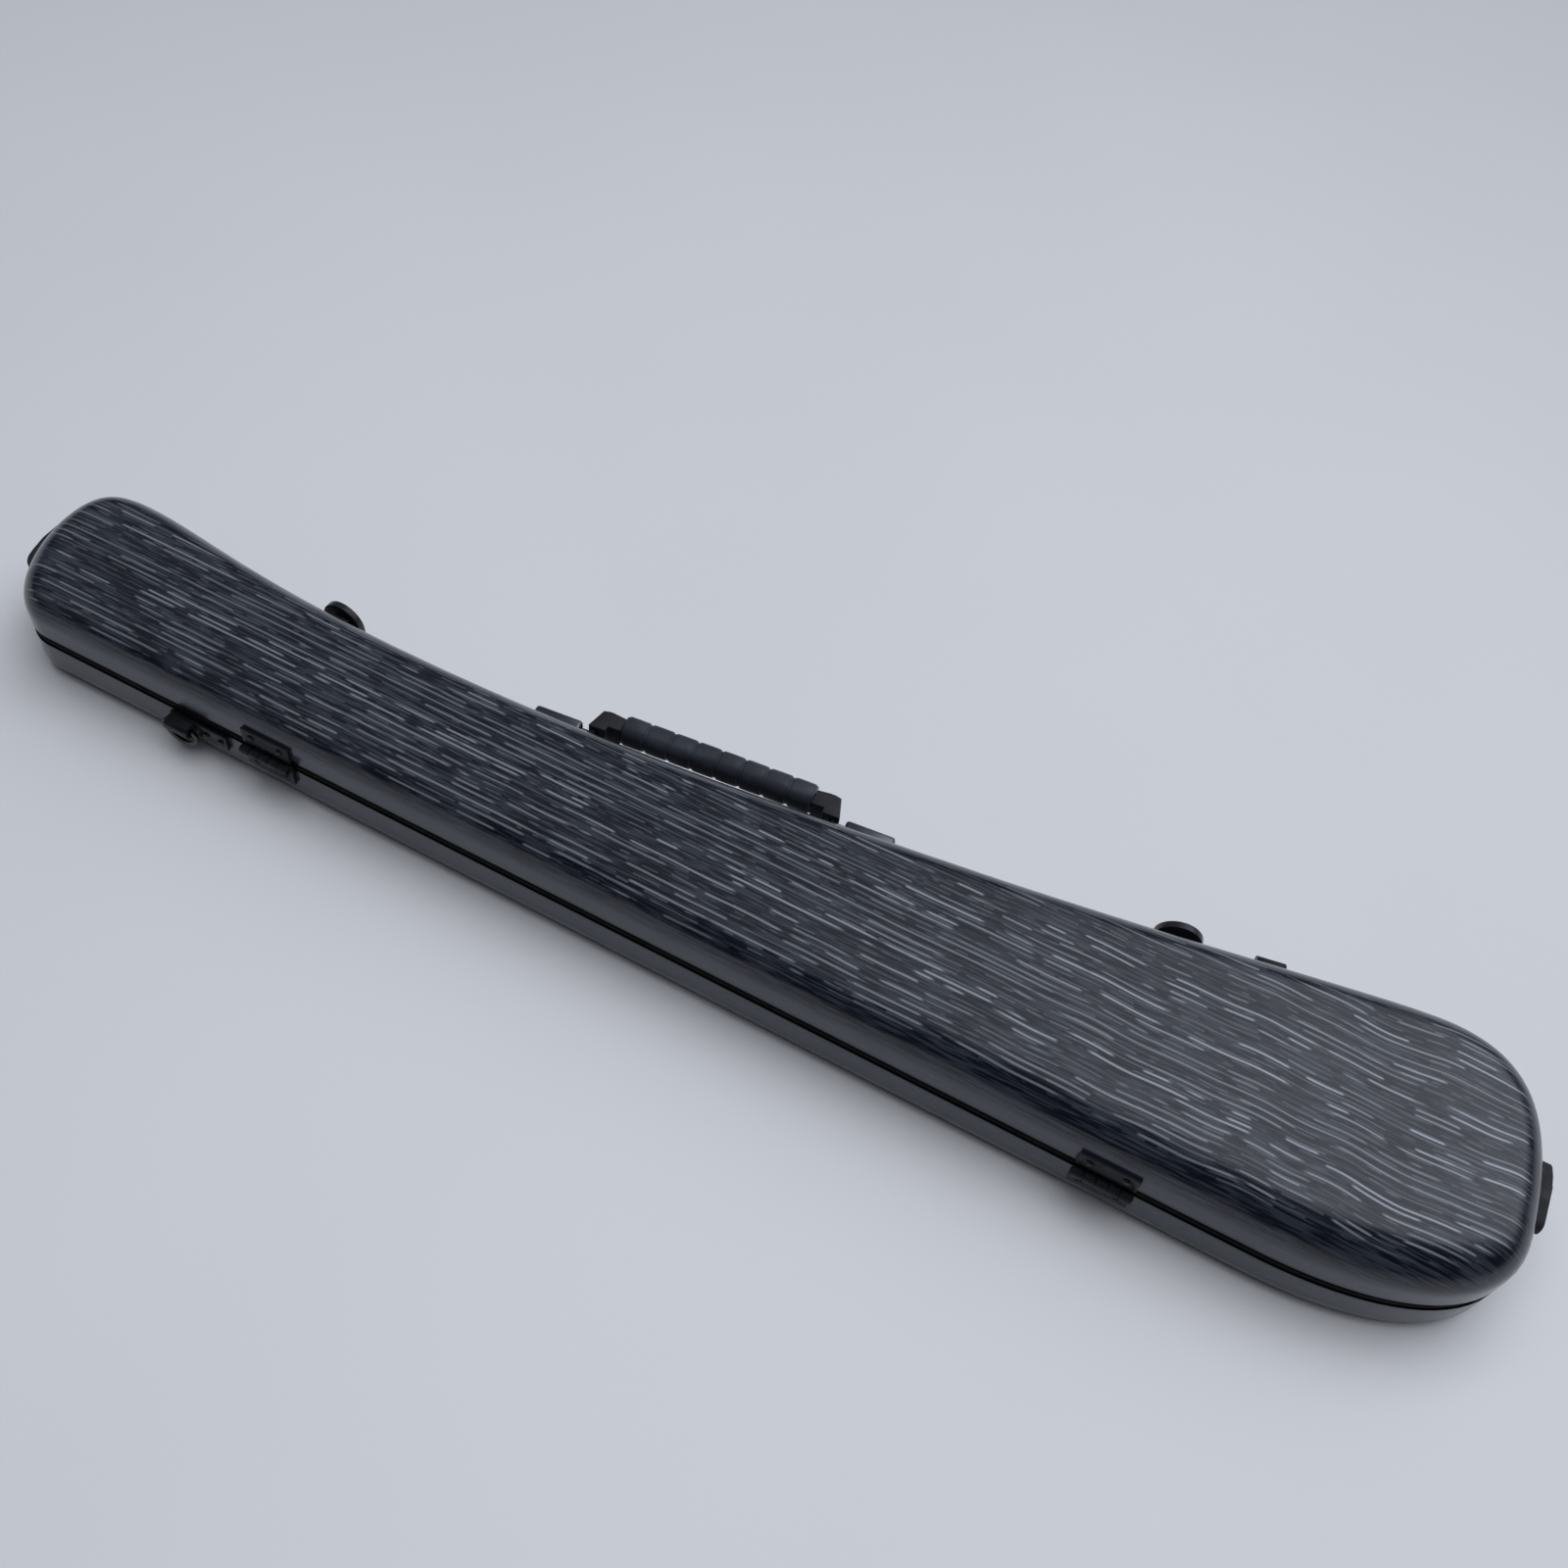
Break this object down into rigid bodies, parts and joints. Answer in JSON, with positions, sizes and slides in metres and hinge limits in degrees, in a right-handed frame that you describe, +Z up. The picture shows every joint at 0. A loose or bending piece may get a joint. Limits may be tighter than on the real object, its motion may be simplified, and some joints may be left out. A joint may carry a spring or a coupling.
{
  "type": "bow case",
  "caption": "Long flared two-shell case for a pair of bows, hinged along the straight side, with toggle latches, a strap handle, strap rings, end bumpers and a plush bed.",
  "frame": {"origin": "on the base's flat underside, at mid-length, on the narrow end's centre line", "axes": "+X towards the wide frog end, +Y towards the latches and handle, +Z up with the case lying closed on its base"},
  "size_m": [0.7999, 0.1504, 0.06],
  "materials": {
    "black_plastic": "satin",
    "black_steel": "satin",
    "bumper_rubber": "matt",
    "clip_plastic": "satin",
    "grip_rubber": "matt",
    "nickel": "satin",
    "plush": "plush",
    "ring_bronze": "dark satin",
    "rivet_steel": "dark satin",
    "seal_rubber": "matt",
    "streaked_film": "gloss",
    "strip_black": "satin"
  },
  "bodies": {
    "base": {"lower_shell": "streaked_film", "lower_edge_strip": "strip_black", "seam_seal": "seal_rubber", "bed_divider": "plush", "bed_far_rail": "plush", "bed_floor_pad": "plush", "bed_frog_block": "plush", "bed_near_rail": "plush", "bed_tip_block": "plush", "clip_frog_screw": "rivet_steel", "clip_tip_screw": "rivet_steel", "hinge_left_body_leaf": "black_steel", "hinge_left_body_leaf_rivets": "rivet_steel", "hinge_left_pin": "black_steel", "hinge_right_body_leaf": "black_steel", "hinge_right_body_leaf_rivets": "rivet_steel", "hinge_right_pin": "black_steel", "latch_left_base": "black_steel", "latch_left_base_rivets": "rivet_steel", "latch_left_pivot_pin": "rivet_steel", "latch_right_base": "black_steel", "latch_right_base_rivets": "rivet_steel", "latch_right_pivot_pin": "rivet_steel", "ring_anchor_near": "black_steel", "ring_anchor_near_rivets": "rivet_steel"},
    "lid": {"upper_shell": "streaked_film", "upper_edge_strip": "strip_black", "lid_pad": "plush", "end_bumper_frog": "bumper_rubber", "end_bumper_frog_rivets": "rivet_steel", "end_bumper_tip": "bumper_rubber", "end_bumper_tip_rivets": "rivet_steel", "handle_cap_left": "nickel", "handle_cap_left_rivets": "rivet_steel", "handle_cap_right": "nickel", "handle_cap_right_rivets": "rivet_steel", "hinge_left_lid_leaf": "black_steel", "hinge_left_lid_leaf_rivets": "rivet_steel", "hinge_right_lid_leaf": "black_steel", "hinge_right_lid_leaf_rivets": "rivet_steel", "latch_left_strike": "black_steel", "latch_left_strike_rivets": "rivet_steel", "latch_right_strike": "black_steel", "latch_right_strike_rivets": "rivet_steel", "ring_anchor_far": "black_steel", "ring_anchor_far_rivets": "rivet_steel"},
    "latch_left_lever": {"latch_left_lever": "black_plastic", "latch_left_claw_pin": "rivet_steel"},
    "latch_left_claw": {"latch_left_claw": "black_steel"},
    "latch_right_lever": {"latch_right_lever": "black_plastic", "latch_right_claw_pin": "rivet_steel"},
    "latch_right_claw": {"latch_right_claw": "black_steel"},
    "handle": {"handle_strap": "black_steel", "handle_grip": "grip_rubber", "handle_end_left": "black_plastic", "handle_end_right": "black_plastic"},
    "near_ring": {"strap_ring_near": "ring_bronze"},
    "far_ring": {"strap_ring_far": "ring_bronze"},
    "tip_clip": {"clip_tip_bar": "clip_plastic"},
    "frog_clip": {"clip_frog_bar": "clip_plastic"}
  },
  "joints": [
    {"name": "lid_hinge", "type": "hinge", "parent": "base", "child": "lid", "pos_m": [0, -0.04825, 0.0295], "axis": [1, 0, 0], "range_deg": [0, 105]},
    {"name": "latch_left_throw", "type": "hinge", "parent": "base", "child": "latch_left_lever", "pos_m": [-0.24029, 0.03822, 0.0165], "axis": [-0.9989, 0.0465, 0], "range_deg": [0, 100]},
    {"name": "latch_left_claw_swing", "type": "hinge", "parent": "latch_left_lever", "child": "latch_left_claw", "pos_m": [-0.24026, 0.03892, 0.023], "axis": [-0.9989, 0.0465, 0], "range_deg": [-80, 0]},
    {"name": "latch_right_throw", "type": "hinge", "parent": "base", "child": "latch_right_lever", "pos_m": [0.21322, 0.08098, 0.0165], "axis": [-0.9848, -0.1736, 0], "range_deg": [0, 100]},
    {"name": "latch_right_claw_swing", "type": "hinge", "parent": "latch_right_lever", "child": "latch_right_claw", "pos_m": [0.2131, 0.08167, 0.023], "axis": [-0.9848, -0.1736, 0], "range_deg": [-80, 0]},
    {"name": "handle_lift", "type": "slide", "parent": "lid", "child": "handle", "axis": [-0.1029, 0.9947, 0], "range_m": [0, 0.002]},
    {"name": "near_ring_swing", "type": "hinge", "parent": "base", "child": "near_ring", "pos_m": [-0.2728, -0.04945, 0.021], "axis": [-1, 0, 0], "range_deg": [-5, 80]},
    {"name": "far_ring_swing", "type": "hinge", "parent": "lid", "child": "far_ring", "pos_m": [0.25563, 0.08899, 0.038], "axis": [0.9833, 0.1817, 0], "range_deg": [-5, 150]},
    {"name": "tip_clip_turn", "type": "hinge", "parent": "base", "child": "tip_clip", "pos_m": [-0.25, -0.0063, 0.0233], "axis": [0, 0, 1], "range_deg": [-90, 90]},
    {"name": "frog_clip_turn", "type": "hinge", "parent": "base", "child": "frog_clip", "pos_m": [0.23, -0.0063, 0.0233], "axis": [0, 0, 1], "range_deg": [-90, 90]}
  ],
  "couplings": [
    {"joint": "latch_left_claw_swing", "follows": "latch_left_throw", "ratio": -0.8},
    {"joint": "latch_right_claw_swing", "follows": "latch_right_throw", "ratio": -0.8}
  ]
}
